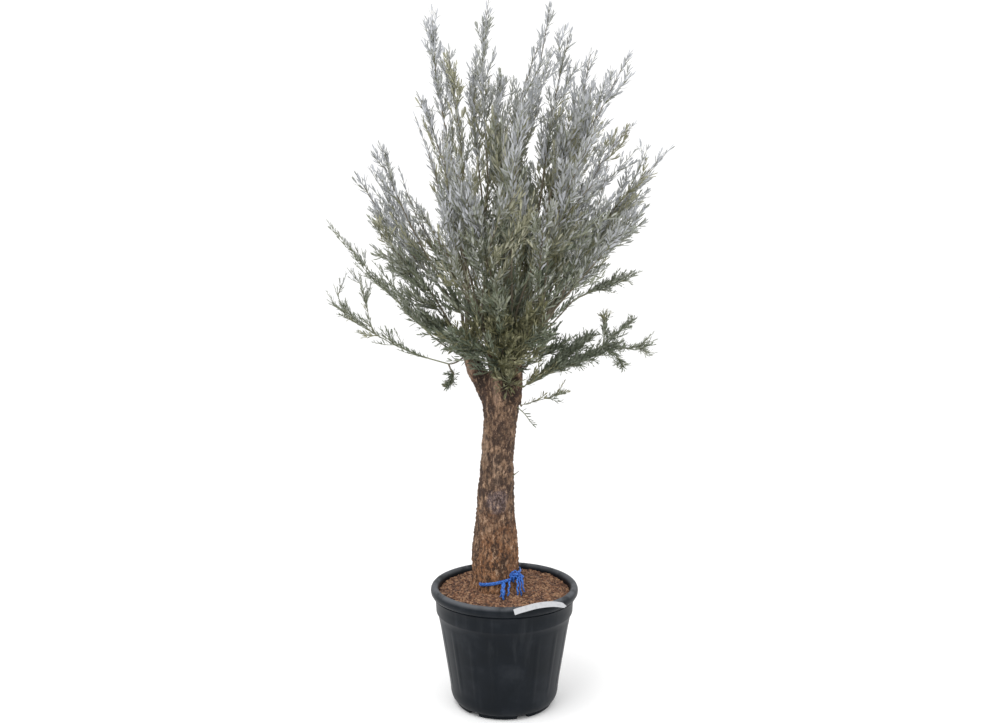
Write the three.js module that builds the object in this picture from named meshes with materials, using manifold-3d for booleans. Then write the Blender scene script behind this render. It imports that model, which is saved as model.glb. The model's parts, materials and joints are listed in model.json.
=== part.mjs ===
// An olive tree in a plastic nursery pot, as separate solids: pot, soil, tie, label,
// trunk, boughs and the masses of foliage.
// Millimetres, +Z up, origin at the centre of the pot's flat underside.
import * as THREE from "three";
import { mergeVertices } from "three/addons/utils/BufferGeometryUtils.js";
import Module from "manifold-3d";

const wasm = await Module();
wasm.setup();

// ---- driving dimensions ----
const GAP = 0.5; // between solids that touch
const pot = {
  height: 410,
  rimRadius: 250,
  rimDepth: 36,
  collarRadius: 231,
  collarDepth: 52,
  bodyTopRadius: 225,
  bodyFootRadius: 184,
  footRadius: 162,
  footHeight: 46,
  wall: 6,
  base: 8,
  grooveIn: 104,
  grooveOut: 132,
  notches: 6,
  notchWidth: 36,
  notchHeight: 12,
  notchHeading: -68,
  drainRadius: 9,
  sides: 30,
};
const soil = { level: 384, sides: 20 };
const trunk = {
  bottom: soil.level + GAP,
  fork: 1030,
  footX: -28,
  topX: -10,
  footRadius: 84,
  waistRadius: 51,
  crotchRadius: 63,
  depthShare: 0.94,
  sides: 16,
  rings: 13,
};
const tie = { height: 436, thick: 7, tilt: 0.16, sides: 5, steps: 18 };
const label = {
  length: 190,
  width: 19,
  thick: 1.2,
  heading: 27,
  lean: 38,
  sagLeft: 8,
  sagRight: 18,
  pointed: 0.25,
};

const colours = {
  pot: 0x2b3036,
  soil: 0x7a5c45,
  bark: 0x7b6048,
  leaf: 0x77796a,
  tie: 0x1f56a8,
  label: 0xf2f2f2,
};
const rough = { pot: 0.55, soil: 0.95, bark: 0.9, leaf: 0.6, tie: 0.5, label: 0.6 };

// ---- helpers ----
// A repeatable run of numbers from 0 to 1.
function dice(seed) {
  let state = seed * 7919 + 17;
  return () => {
    state = (state + 0x6d2b79f5) | 0;
    let t = Math.imul(state ^ (state >>> 15), 1 | state);
    t = (t + Math.imul(t ^ (t >>> 7), 61 | t)) ^ t;
    return ((t ^ (t >>> 14)) >>> 0) / 4294967296;
  };
}

const vec = (p) => new THREE.Vector3(...p);
const mix = THREE.MathUtils.lerp;
const radians = THREE.MathUtils.degToRad;

function toSolid(geometry) {
  const bare = geometry.clone();
  bare.deleteAttribute("normal");
  bare.deleteAttribute("uv");
  const merged = mergeVertices(bare, 1e-3);
  return new wasm.Manifold(
    new wasm.Mesh({
      numProp: 3,
      vertProperties: merged.attributes.position.array,
      triVerts: new Uint32Array(merged.index.array),
    }),
  );
}

function toGeometry(solid) {
  const found = solid.getMesh();
  const places = new Float32Array(found.numVert * 3);
  for (let i = 0; i < found.numVert; i++)
    places.set(
      found.vertProperties.subarray(i * found.numProp, i * found.numProp + 3),
      i * 3,
    );
  return new THREE.BufferGeometry()
    .setAttribute("position", new THREE.BufferAttribute(places, 3))
    .setIndex(new THREE.BufferAttribute(new Uint32Array(found.triVerts), 1));
}

// The largest of a solid's separate bodies.
function largest(solid) {
  return solid
    .decompose()
    .reduce((best, body) => (body.volume() > best.volume() ? body : best));
}

// Wraps a closed geometry that stands along Y round a curve. place(t, angle, rim) gives the
// distance from the curve at share t of its length, where rim is the geometry's own radius.
function wrapRound(geometry, curve, place) {
  const at = geometry.attributes.position;
  geometry.computeBoundingBox();
  const { min, max } = geometry.boundingBox;
  for (let i = 0; i < at.count; i++) {
    const t = (at.getY(i) - min.y) / (max.y - min.y);
    const rim = Math.hypot(at.getX(i), at.getZ(i));
    const angle = Math.atan2(at.getZ(i), at.getX(i));
    const along = curve.getTangent(t);
    const across = new THREE.Vector3(0, 1, 0).cross(along);
    if (across.length() < 0.2) across.set(1, 0, 0);
    across.normalize();
    const third = along.clone().cross(across).normalize();
    const reach = rim < 1e-6 ? 0 : place(t, angle, rim);
    const point = curve
      .getPoint(t)
      .addScaledVector(across, -Math.cos(angle) * reach)
      .addScaledVector(third, Math.sin(angle) * reach);
    at.setXYZ(i, point.x, point.y, point.z);
  }
  return geometry;
}

// ---- pot ----
function potProfile() {
  const { rimRadius, height, rimDepth, collarRadius, collarDepth, wall } = pot;
  const under = height - rimDepth;
  const collar = under - collarDepth;
  const rimRound = 12;
  const outer = [
    [pot.footRadius, 0],
    [pot.footRadius + 2, pot.notchHeight],
    [pot.bodyFootRadius - 6, pot.footHeight * 0.6],
    [pot.bodyFootRadius, pot.footHeight + 8],
    [pot.bodyTopRadius, collar],
    [collarRadius, collar + 5],
    [collarRadius + 4, under],
    [rimRadius - 3, under + 3],
    [rimRadius, under + rimRound],
    [rimRadius - 2, height - rimRound],
    [rimRadius - 10, height],
    [rimRadius - 16, height - 3],
  ];
  const inner = [
    [pot.bodyTopRadius - wall, collar],
    [pot.bodyFootRadius - wall, pot.footHeight + 8],
    [pot.footRadius - wall, pot.base],
    [0, pot.base],
  ];
  return [[0, 0], ...outer, ...inner].map(([r, z]) => new THREE.Vector2(r, z));
}

function potSolid() {
  const turned = new THREE.LatheGeometry(potProfile(), pot.sides).rotateX(Math.PI / 2);
  let made = toSolid(turned);
  const middle = (pot.grooveIn + pot.grooveOut) / 2;
  const groove = new THREE.LatheGeometry(
    [
      [pot.grooveIn, -1],
      [pot.grooveOut, -1],
      [pot.grooveOut - 2, pot.base / 2],
      [pot.grooveIn + 2, pot.base / 2],
      [pot.grooveIn, -1],
    ].map(([r, z]) => new THREE.Vector2(r, z)),
    pot.sides,
  ).rotateX(Math.PI / 2);
  made = made.subtract(toSolid(groove));
  for (let i = 0; i < pot.notches; i++) {
    const heading = radians(pot.notchHeading) + (i / pot.notches) * Math.PI * 2;
    const run = pot.footRadius - middle + 10;
    const channel = new THREE.BoxGeometry(run, pot.notchWidth, pot.base)
      .translate(middle + run / 2, 0, 0)
      .rotateZ(heading);
    const drain = new THREE.CylinderGeometry(pot.drainRadius, pot.drainRadius, 40, 6)
      .rotateX(Math.PI / 2)
      .translate(middle, 0, 0)
      .rotateZ(heading);
    made = made.subtract(toSolid(channel)).subtract(toSolid(drain));
  }
  return made;
}

// ---- soil ----
function soilSolid() {
  const clear = pot.wall + 2;
  const collar = pot.height - pot.rimDepth - pot.collarDepth;
  const atCollar = pot.bodyTopRadius - clear;
  const profile = [
    [0, pot.base + GAP],
    [pot.footRadius - clear, pot.base + GAP],
    [pot.bodyFootRadius - clear, pot.footHeight + 8],
    [atCollar, collar],
    [atCollar + 4, soil.level - 7],
    [atCollar - 40, soil.level],
    [0, soil.level],
  ];
  return toSolid(
    new THREE.LatheGeometry(
      profile.map(([r, z]) => new THREE.Vector2(r, z)),
      soil.sides,
    ).rotateX(Math.PI / 2),
  );
}

// ---- trunk ----
// The trunk's radius: a flared foot, a swelling at the knee, a waist, then the crotch.
function trunkRadius(t) {
  const flare = (trunk.footRadius - trunk.waistRadius) * (1 - t) ** 1.5;
  const crotch = (trunk.crotchRadius - trunk.waistRadius) * t ** 9;
  const knee = 6 * Math.exp(-(((t - 0.24) / 0.11) ** 2));
  return trunk.waistRadius + flare + knee + crotch;
}

// The bark's broad flutes.
const flutes = (angle, t) =>
  1 +
  0.05 * Math.sin(3 * angle + 2.2 * t) +
  0.035 * Math.sin(5 * angle - 3 * t + 1) * (1 - 0.5 * t);

const trunkLine = new THREE.CatmullRomCurve3(
  [0, 0.3, 0.65, 1].map(
    (t) =>
      new THREE.Vector3(
        mix(trunk.footX, trunk.topX, t ** 1.4) - 5 * Math.sin(Math.PI * t),
        4 * Math.sin(Math.PI * t),
        mix(trunk.bottom, trunk.fork, t),
      ),
  ),
);

function trunkSolid(grow = 0) {
  const blank = new THREE.CylinderGeometry(1, 1, 1, trunk.sides, trunk.rings);
  const at = wrapRound(
    blank,
    trunkLine,
    (t, angle, rim) => rim * (trunkRadius(t) * flutes(angle, t) + grow),
  ).attributes.position;
  const deep = trunk.depthShare;
  for (let i = 0; i < at.count; i++) at.setY(i, at.getY(i) * deep);
  // the cap rings lie level, so that the foot is a flat cut
  const ends = [trunk.bottom, trunk.fork].map((z, k) => z + (k ? grow : -grow));
  for (let i = 0; i < at.count; i++)
    ends.forEach((z, k) => {
      if (Math.abs(at.getZ(i) - (k ? trunk.fork : trunk.bottom)) < 14) at.setZ(i, z);
    });
  return toSolid(blank);
}

// ---- boughs ----
// Each bough leaves the fork, and ends where it enters the foliage.
const boughs = {
  bough_left: { from: [-36, -8, 1034], to: [-119, -20, 1206], girth: [38, 27], bow: [-3, 0, 0] },
  bough_middle: { from: [-12, -24, 1036], to: [-42, -54, 1212], girth: [33, 22], bow: [2, 0, 0] },
  bough_right: { from: [18, -4, 1034], to: [27, -8, 1200], girth: [38, 30], bow: [5, 0, 0] },
  bough_back: { from: [2, 34, 1036], to: [16, 128, 1222], girth: [34, 22], bow: [0, 14, -10] },
};

function curveOf({ from, to, bow = [0, 0, 0] }, grow) {
  const run = vec(to).sub(vec(from)).normalize().multiplyScalar(grow);
  const middle = vec(from).lerp(vec(to), 0.5).addScaledVector(vec(bow), 2);
  return new THREE.QuadraticBezierCurve3(vec(from).sub(run), middle, vec(to).add(run));
}

function boughSolid(spec, grow = 0) {
  const blank = new THREE.CylinderGeometry(1, 1, 1, 10, 5);
  wrapRound(blank, curveOf(spec, grow), (t, angle, rim) => {
    const uneven = 1 + 0.05 * Math.sin(2 * angle + 5 * t);
    return rim * (mix(...spec.girth, t) * uneven + grow);
  });
  return toSolid(blank);
}

// ---- foliage ----
// A mass of foliage is a sheaf of tapering shoots that leave one root. The shoots end at its
// tips, and fill more of them fan out round the first one, shorter the further they lean.
// A positive bow carries the shoots outwards before they turn up.
const masses = {
  crown_core: {
    root: [8, 0, 1200],
    tips: [[10, 10, 1640]],
    fill: 1,
    fan: 14,
    girth: 150,
  },
  crown_top_middle: {
    root: [-70, -8, 1490],
    tips: [[-44, 0, 2324], [-98, 150, 2200], [-4, -150, 2060]],
    girth: 56,
  },
  crown_top_left: {
    root: [-126, 14, 1480],
    tips: [[-236, 40, 2316], [-286, 150, 2058], [-160, -130, 2158]],
    girth: 54,
  },
  crown_top_right: {
    root: [-6, 20, 1490],
    tips: [[146, 20, 2319], [104, -160, 2170], [92, 190, 2140]],
    girth: 62,
    bow: -0.1,
  },
  crown_top_far_right: {
    root: [80, -10, 1460],
    tips: [[208, -90, 2216], [286, 150, 2200], [262, -200, 2060]],
    girth: 68,
    bow: -0.04,
  },
  crown_right_shoulder: {
    root: [108, 0, 1430],
    tips: [[404, -20, 2163], [352, 180, 2096], [290, -190, 1970]],
    girth: 64,
    bow: -0.1,
  },
  crown_right_upper: {
    root: [132, 24, 1400],
    tips: [[432, 90, 1957], [368, -130, 1905]],
    girth: 62,
    bow: -0.05,
  },
  crown_right: {
    root: [156, -10, 1345],
    tips: [[527, -10, 1869], [489, 110, 1795], [445, -120, 1675]],
    girth: 62,
    bow: 0.02,
  },
  crown_right_lower: {
    root: [120, 10, 1290],
    tips: [[413, 90, 1662], [356, -90, 1640], [186, 10, 1412]],
    girth: 54,
    bow: 0.02,
  },
  crown_left_shoulder: {
    root: [-122, 0, 1420],
    tips: [[-296, 60, 1975], [-250, -130, 1863]],
    girth: 54,
    bow: 0.02,
  },
  crown_left: {
    root: [-140, -10, 1330],
    tips: [[-427, -40, 1855], [-489, 40, 1780], [-372, 150, 1700]],
    girth: 66,
    bow: 0.09,
  },
  crown_left_lower: {
    root: [-146, 0, 1240],
    tips: [[-424, -110, 1642], [-440, 60, 1548], [-346, 30, 1440]],
    girth: 64,
    bow: 0.05,
  },
  crown_front_left: {
    root: [-70, -110, 1290],
    tips: [[-190, -320, 1890]],
    fill: 3,
    fan: 16,
    girth: 88,
    bow: 0.06,
  },
  crown_front: {
    root: [24, -130, 1290],
    tips: [[50, -330, 1980]],
    fill: 3,
    fan: 16,
    girth: 88,
    bow: 0.06,
  },
  crown_front_right: {
    root: [112, -100, 1280],
    tips: [[250, -310, 1890]],
    fill: 3,
    fan: 16,
    girth: 84,
    bow: 0.06,
  },
  crown_back_left: {
    root: [-76, 120, 1290],
    tips: [[-210, 330, 1950]],
    fill: 3,
    fan: 16,
    girth: 88,
    bow: 0.06,
  },
  crown_back: {
    root: [24, 140, 1300],
    tips: [[30, 370, 2040]],
    fill: 3,
    fan: 16,
    girth: 88,
    bow: 0.06,
  },
  crown_back_right: {
    root: [112, 110, 1290],
    tips: [[290, 330, 1940]],
    fill: 3,
    fan: 16,
    girth: 84,
    bow: 0.06,
  },
  skirt_front: {
    root: [-6, -84, 1176],
    tips: [[-40, -290, 1400], [70, -170, 1320]],
    fill: 3,
    fan: 28,
    girth: 72,
    bow: 0.16,
  },
  skirt_back: {
    root: [10, 150, 1215],
    tips: [[0, 330, 1450]],
    fill: 3,
    fan: 28,
    girth: 72,
    bow: 0.16,
  },
  spray_left: {
    root: [-236, -56, 1258],
    tips: [[-572, -60, 1630], [-430, -30, 1500]],
    girth: 26,
    bow: 0.08,
  },
  spray_low_left: {
    root: [-184, -30, 1164],
    tips: [[-578, -40, 1372], [-392, -30, 1262]],
    girth: 22,
    bow: 0.12,
  },
  spray_right: { root: [214, -10, 1372], tips: [[450, 10, 1468], [366, -30, 1440]], girth: 22 },
  spray_low_right: {
    root: [68, -40, 1094],
    tips: [[336, -50, 1214], [290, -10, 1256]],
    girth: 30,
    bow: -0.12,
  },
  spray_low_left_end: {
    root: [-436, -36, 1262],
    tips: [[-558, -60, 1430], [-476, -20, 1466]],
    girth: 20,
    bow: 0.06,
  },
  spray_low_right_end: {
    root: [344, -50, 1196],
    tips: [[490, -50, 1228], [434, -20, 1318], [326, 0, 1342], [392, -70, 1150]],
    girth: 24,
  },
  skirt_left: {
    root: [-130, -34, 1214],
    tips: [[-292, -40, 1336], [-210, -76, 1268], [-110, -120, 1310]],
    girth: 46,
  },
  skirt_right: { root: [78, -16, 1160], tips: [[186, -20, 1300], [236, -60, 1262]], girth: 44 },
  twig_low_right: { root: [58, -20, 1026], tips: [[212, -40, 1072]], girth: 15 },
  tuft_low_left: { root: [-180, -24, 1150], tips: [[-190, -34, 1080]], girth: 22 },
  sprouts_at_fork: {
    root: [22, -58, 1056],
    tips: [[-50, -106, 1206], [2, -122, 1232], [56, -92, 1200]],
    girth: 38,
  },
};
const shoot = { sides: 6, rows: 3 };
const golden = Math.PI * (3 - Math.sqrt(5));

// The tips of a mass's shoots.
function tipsOf({ root, tips, fill = 0, fan = 0 }, roll) {
  const axis = vec(tips[0]).sub(vec(root));
  const round = axis.clone().normalize();
  const side = new THREE.Vector3(0, 1, 0.3).cross(axis).normalize();
  const more = [...Array(fill).keys()].map((i) => {
    const lean = radians(fan) * mix(0.9, 1.6, (i + 1) / fill);
    const run = axis.clone().applyAxisAngle(side, lean);
    run.applyAxisAngle(round, (i + 1) * golden + roll());
    return run.multiplyScalar(mix(0.9, 0.7, i / fill) * mix(0.94, 1.03, roll())).add(vec(root));
  });
  return [...tips.map(vec), ...more];
}

function massSolid(spec, seed, grow = 0) {
  const roll = dice(seed);
  const { girth, bow = 0 } = spec;
  const shoots = tipsOf(spec, roll).map((tip, i) => {
    const run = tip.clone().sub(vec(spec.root)).normalize();
    const from = vec(spec.root).addScaledVector(run, -grow);
    const to = tip.clone().addScaledVector(run, 2 * grow);
    const outwards = new THREE.Vector3(to.x - from.x, to.y - from.y, (from.z - to.z) * 0.4);
    const middle = from.clone().lerp(to, 0.5).addScaledVector(outwards, bow * 2);
    const line = new THREE.QuadraticBezierCurve3(from, middle, to);
    const phase = roll() * 6;
    const width = girth * (i ? mix(0.78, 1, roll()) : 0.95);
    const blank = new THREE.SphereGeometry(1, shoot.sides, shoot.rows).rotateX(Math.PI);
    return toSolid(
      wrapRound(blank, line, (t, angle, rim) => {
        const uneven = 1 + 0.16 * Math.sin(2 * angle + phase + 7 * t);
        return rim * width * (1.22 - 0.8 * t) * uneven + grow;
      }),
    );
  });
  return shoots.reduce((sum, one) => sum.add(one));
}

// ---- tie and label ----
// A twine round the trunk's foot, higher on the right, with a knot and two hanging ends.
function tieSolid() {
  const t = (tie.height - trunk.bottom) / (trunk.fork - trunk.bottom);
  const centre = trunkLine.getPoint(t).x;
  const reach = trunkRadius(t) * 1.13 + tie.thick;
  const band = new THREE.TorusGeometry(reach, tie.thick, tie.sides, tie.steps)
    .scale(1, trunk.depthShare, 1)
    .rotateY(-tie.tilt)
    .translate(centre, 0, tie.height);
  const front = new THREE.Vector3(centre + reach * 0.72, -reach * 0.68, tie.height + 16);
  const knot = new THREE.SphereGeometry(16, 8, 5)
    .scale(1.3, 0.9, 1)
    .translate(front.x, front.y, front.z);
  const end = (across, lean) => {
    const from = new THREE.Vector3(centre + reach * across, 0, 0);
    from.y = -reach * trunk.depthShare * Math.sqrt(1 - across ** 2);
    from.z = tie.height + reach * across * tie.tilt;
    const to = new THREE.Vector3(from.x + lean, from.y - 36, soil.level + GAP + 4);
    const belly = new THREE.Vector3(from.x + lean * 0.6, from.y - 26, from.z - 6);
    const blank = new THREE.CylinderGeometry(1, 1, 1, tie.sides, 4);
    const curve = new THREE.QuadraticBezierCurve3(from, belly, to);
    return toSolid(wrapRound(blank, curve, (s, angle, rim) => rim * mix(5, 3, s)));
  };
  return [toSolid(knot), end(0.86, 10), end(0.3, -6)].reduce(
    (sum, one) => sum.add(one),
    toSolid(band),
  );
}

// A plain strip that leans on the rim: it is straight in plan, and its ends sag off the rim.
function labelSolid() {
  const strip = new THREE.BoxGeometry(label.length, label.thick, label.width, 8, 1, 1);
  const at = strip.attributes.position;
  const lean = radians(label.lean);
  for (let i = 0; i < at.count; i++) {
    const along = (2 * at.getX(i)) / label.length;
    const up = at.getZ(i) * (along > 0.9 ? label.pointed : 1);
    const sag = (along > 0 ? label.sagRight : label.sagLeft) * along ** 2;
    const out = pot.rimRadius + 2 - at.getY(i) - up * Math.sin(lean);
    at.setXYZ(i, at.getX(i), -out, up * Math.cos(lean) - sag);
  }
  strip.rotateZ(radians(label.heading)).translate(0, 0, pot.height + 3);
  return toSolid(strip);
}

// ---- assembly ----
const group = new THREE.Group();
group.name = "potted_olive_tree";

function place(name, solid, kind) {
  const paint = { color: colours[kind], roughness: rough[kind], metalness: 0 };
  const mesh = new THREE.Mesh(toGeometry(solid), new THREE.MeshStandardMaterial(paint));
  mesh.name = name;
  group.add(mesh);
}

place("pot", potSolid(), "pot");
place("soil", soilSolid(), "soil");
place("trunk", trunkSolid(), "bark");

// Everything that is placed later is cut clear of these.
const clear = [trunkSolid(GAP)];
const cutBy = (solid, others) => others.reduce((left, other) => left.subtract(other), solid);

for (const [name, spec] of Object.entries(boughs)) {
  place(name, largest(cutBy(boughSolid(spec), clear)), "bark");
  clear.push(boughSolid(spec, GAP));
}

let seed = 1;
for (const [name, spec] of Object.entries(masses)) {
  place(name, largest(cutBy(massSolid(spec, seed), clear)), "leaf");
  clear.push(massSolid(spec, seed, GAP));
  seed += 1;
}

place("tie", tieSolid(), "tie");
place("label", labelSolid(), "label");

export default group;
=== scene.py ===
import json
import math
import random

import bmesh
import bpy
import numpy as np
from mathutils import Matrix, Vector, noise
from mathutils.bvhtree import BVHTree

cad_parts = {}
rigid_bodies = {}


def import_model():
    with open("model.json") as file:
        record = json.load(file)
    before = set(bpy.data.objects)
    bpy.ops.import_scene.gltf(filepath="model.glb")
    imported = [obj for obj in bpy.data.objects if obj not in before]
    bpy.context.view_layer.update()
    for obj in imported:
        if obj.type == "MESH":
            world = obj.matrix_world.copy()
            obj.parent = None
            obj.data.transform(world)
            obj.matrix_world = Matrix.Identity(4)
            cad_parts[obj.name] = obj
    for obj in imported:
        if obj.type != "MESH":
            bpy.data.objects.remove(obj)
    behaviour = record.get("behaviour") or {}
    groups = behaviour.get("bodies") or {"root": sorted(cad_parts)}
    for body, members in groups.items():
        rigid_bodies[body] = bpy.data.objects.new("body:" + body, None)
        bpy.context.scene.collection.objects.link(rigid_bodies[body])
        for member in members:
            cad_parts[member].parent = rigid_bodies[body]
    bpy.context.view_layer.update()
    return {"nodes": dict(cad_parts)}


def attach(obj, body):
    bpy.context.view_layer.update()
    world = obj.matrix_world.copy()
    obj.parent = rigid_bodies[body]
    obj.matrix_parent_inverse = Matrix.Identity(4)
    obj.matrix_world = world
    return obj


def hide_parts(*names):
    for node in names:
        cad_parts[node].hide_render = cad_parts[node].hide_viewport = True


for thing in list(bpy.data.objects):  # the start-up cube, lamp and camera
    bpy.data.objects.remove(thing)
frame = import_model()
scene = bpy.context.scene
nodes = frame["nodes"]


class Wire:
    def __init__(self, board, node, socket):
        self.board, self.node, self.socket = board, node, socket

    def calc(self, operation, *others, flip=False):
        ends = [self, *others]
        if flip:
            ends.reverse()
        return self.board.add("ShaderNodeMath", {"operation": operation}, dict(enumerate(ends)))

    def __add__(self, other):
        return self.calc("ADD", other)

    def __sub__(self, other):
        return self.calc("SUBTRACT", other)

    def __mul__(self, other):
        return self.calc("MULTIPLY", other)

    def __rsub__(self, other):
        return self.calc("SUBTRACT", other, flip=True)

    __radd__ = __add__
    __rmul__ = __mul__

    def pick(self, name):
        return Wire(self.board, self.node, self.node.outputs[name])


class Board:
    def __init__(self, tree):
        self.tree = tree

    def add(self, kind, settings=None, values=None, out=0):
        node = self.tree.nodes.new(kind)
        for name, value in (settings or {}).items():
            setattr(node, name, value)
        for key, value in (values or {}).items():
            socket = node.inputs[key]
            if isinstance(value, Wire):
                self.tree.links.new(value.socket, socket)
            else:
                socket.default_value = value
        return Wire(self, node, node.outputs[out]) if len(node.outputs) else node

    def noise(self, at, scale, detail=4.0, roughness=0.55, distortion=0.0):
        sizes = {"Vector": at, "Scale": scale, "Detail": detail, "Roughness": roughness}
        return self.add("ShaderNodeTexNoise", None, {**sizes, "Distortion": distortion})

    def band(self, value, low, high):
        smoothly = {"interpolation_type": "SMOOTHSTEP"}
        return self.add("ShaderNodeMapRange", smoothly, {0: value, 1: low, 2: high})

    def tint(self, share, first, second):
        return self.add("ShaderNodeMix", {"data_type": "RGBA"}, {0: share, 6: first, 7: second}, out=2)

    def bump(self, strength, distance, height):
        sizes = {"Strength": strength, "Distance": distance, "Height": height}
        return self.add("ShaderNodeBump", None, sizes)

    def stretched(self, at, scale):
        return self.add("ShaderNodeMapping", None, {"Vector": at, "Scale": scale})

    def upright(self, vector):
        return self.add("ShaderNodeSeparateXYZ", None, {0: vector}).pick("Z")


def linear(red, green, blue):
    return tuple(
        c / 12.92 if c <= 0.04045 else ((c + 0.055) / 1.055) ** 2.4
        for c in (red / 255, green / 255, blue / 255)
    ) + (1.0,)


def plain(name, colour, **fixed):
    material = bpy.data.materials.new(name)
    material.use_nodes = True
    shader = material.node_tree.nodes["Principled BSDF"]
    shader.inputs["Base Color"].default_value = colour
    material.diffuse_color = colour
    for socket, value in fixed.items():
        shader.inputs[socket.replace("_", " ")].default_value = value
    return material


# A material whose looks come from its own nodes; the caller links them to the shader.
def patterned(name, colour, **fixed):
    material = plain(name, colour, **fixed)
    board = Board(material.node_tree)
    at = board.add("ShaderNodeTexCoord").pick("Object")
    shader = material.node_tree.nodes["Principled BSDF"]

    def link(**wires):
        for socket, wire in wires.items():
            board.tree.links.new(wire.socket, shader.inputs[socket.replace("_", " ")])

    return material, board, at, link


def meshObject(name, points, faces, *materials):
    mesh = bpy.data.meshes.new(name)
    mesh.from_pydata([tuple(p) for p in points], [], faces)
    for material in materials:
        mesh.materials.append(material)
    made = bpy.data.objects.new(name, mesh)
    scene.collection.objects.link(made)
    return made


# Replaces an object's modifiers with their result.
def settle(made):
    depsgraph = bpy.context.evaluated_depsgraph_get()
    mesh = bpy.data.meshes.new_from_object(made.evaluated_get(depsgraph), depsgraph=depsgraph)
    made.modifiers.clear()
    old = made.data
    if isinstance(old, bpy.types.Mesh):
        made.data = mesh
        return made
    name = made.name
    bpy.data.objects.remove(made)
    fresh = bpy.data.objects.new(name, mesh)
    scene.collection.objects.link(fresh)
    return fresh


# A geometry tree with a Geometry input and the named inputs given.
def geometryTree(name, **inputs):
    tree = bpy.data.node_groups.new(name, "GeometryNodeTree")
    tree.interface.new_socket("Geometry", in_out="INPUT", socket_type="NodeSocketGeometry")
    for key, kind in inputs.items():
        tree.interface.new_socket(key, in_out="INPUT", socket_type="NodeSocket" + kind)
    tree.interface.new_socket("Geometry", in_out="OUTPUT", socket_type="NodeSocketGeometry")
    board = Board(tree)
    return board, board.add("NodeGroupInput")


# Ends a geometry tree with real faces of one material.
def closeTree(board, geometry, finish):
    real = board.add("GeometryNodeRealizeInstances", None, {"Geometry": geometry})
    done = board.add("GeometryNodeSetMaterial", None, {"Geometry": real, "Material": finish})
    board.add("NodeGroupOutput", None, {0: done})
    return board


def grow(made, board, **inputs):
    modifier = made.modifiers.new("grow", "NODES")
    modifier.node_group = board.tree
    for item in board.tree.interface.items_tree:
        if item.in_out == "INPUT" and item.name in inputs:
            modifier[item.identifier] = inputs[item.name]
    return settle(made)


def finishPiece(made, slot, *replaced):
    if replaced:
        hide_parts(*replaced)
    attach(made, "root")
    triangles = sum(len(p.vertices) - 2 for p in made.data.polygons)
    print(f"{made.name}: {triangles} triangles")


def shadeSmooth(made):
    made.data.polygons.foreach_set("use_smooth", [True] * len(made.data.polygons))


def merged(name, *names):
    shape = bmesh.new()
    for one in names:
        shape.from_mesh(nodes[one].data)
    bmesh.ops.remove_doubles(shape, verts=shape.verts, dist=1e-5)
    mesh = bpy.data.meshes.new(name)
    shape.to_mesh(mesh)
    shape.free()
    return mesh


def between(low, high, share):
    return low + (high - low) * share


def smooth(value, low, high):
    share = min(max((value - low) / (high - low), 0.0), 1.0)
    return share * share * (3 - 2 * share)


studio = {
    "place": (-0.015, -3.4, 1.55), "pitch": -6.4, "lens": 37.1,
    "sky": 1.1, "floor": 0.95, "floorHalf": 30, "aim": (0, 0, 1.2),
    "lamps": {  # place, size and power
        "key": ((-1.6, -2.2, 5.0), 3.0, 120),
        "fill": ((2.6, -2.6, 3.2), 2.5, 30),
    },
}

camera = bpy.data.objects.new("camera", bpy.data.cameras.new("camera"))
camera.location = studio["place"]
camera.rotation_euler = (math.radians(90 + studio["pitch"]), 0, 0)
camera.data.lens = studio["lens"]
scene.collection.objects.link(camera)
scene.camera = camera

world = bpy.data.worlds.new("studio")
world.use_nodes = True
world.node_tree.nodes["Background"].inputs["Color"].default_value = (1, 1, 1, 1)
world.node_tree.nodes["Background"].inputs["Strength"].default_value = studio["sky"]
scene.world = world
scene.view_settings.view_transform = "Standard"

for name, (place, size, power) in studio["lamps"].items():
    lamp = bpy.data.lights.new(name, "AREA")
    lamp.size, lamp.energy = size, power
    light = bpy.data.objects.new(name, lamp)
    light.location = place
    light.rotation_euler = (Vector(studio["aim"]) - Vector(place)).to_track_quat("-Z", "Y").to_euler()
    scene.collection.objects.link(light)

half = studio["floorHalf"]
corners = [(-half, -half, 0), (half, -half, 0), (half, half, 0), (-half, half, 0)]
floorPaint = plain("floorPaint", (studio["floor"],) * 3 + (1,), Roughness=0.9)
floor = meshObject("floor", corners, [(0, 1, 2, 3)], floorPaint)
print("camera, light and floor are set")

pot = {
    "height": 0.410, "rim": 0.250, "collar": 0.232, "bodyTop": 0.2255, "bodyFoot": 0.184, "foot": 0.163,
    "wall": 0.005, "floor": 0.010, "step": 0.316, "footCurve": 0.045,
    "roll": (0.0135, 0.0185),  # half width and half height of the rim's roll
    "groove": (0.100, 0.134, 0.004),  # inner and outer radius and depth, in the underside
    "notches": 6, "notchHeight": 0.013, "notchHalf": 6.4, "notchHeading": -68,
    "panels": 18, "panelDepth": 0.0012, "panelFrom": (0.06, 0.09), "panelTo": (0.27, 0.30), "steps": 300,
}


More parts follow.
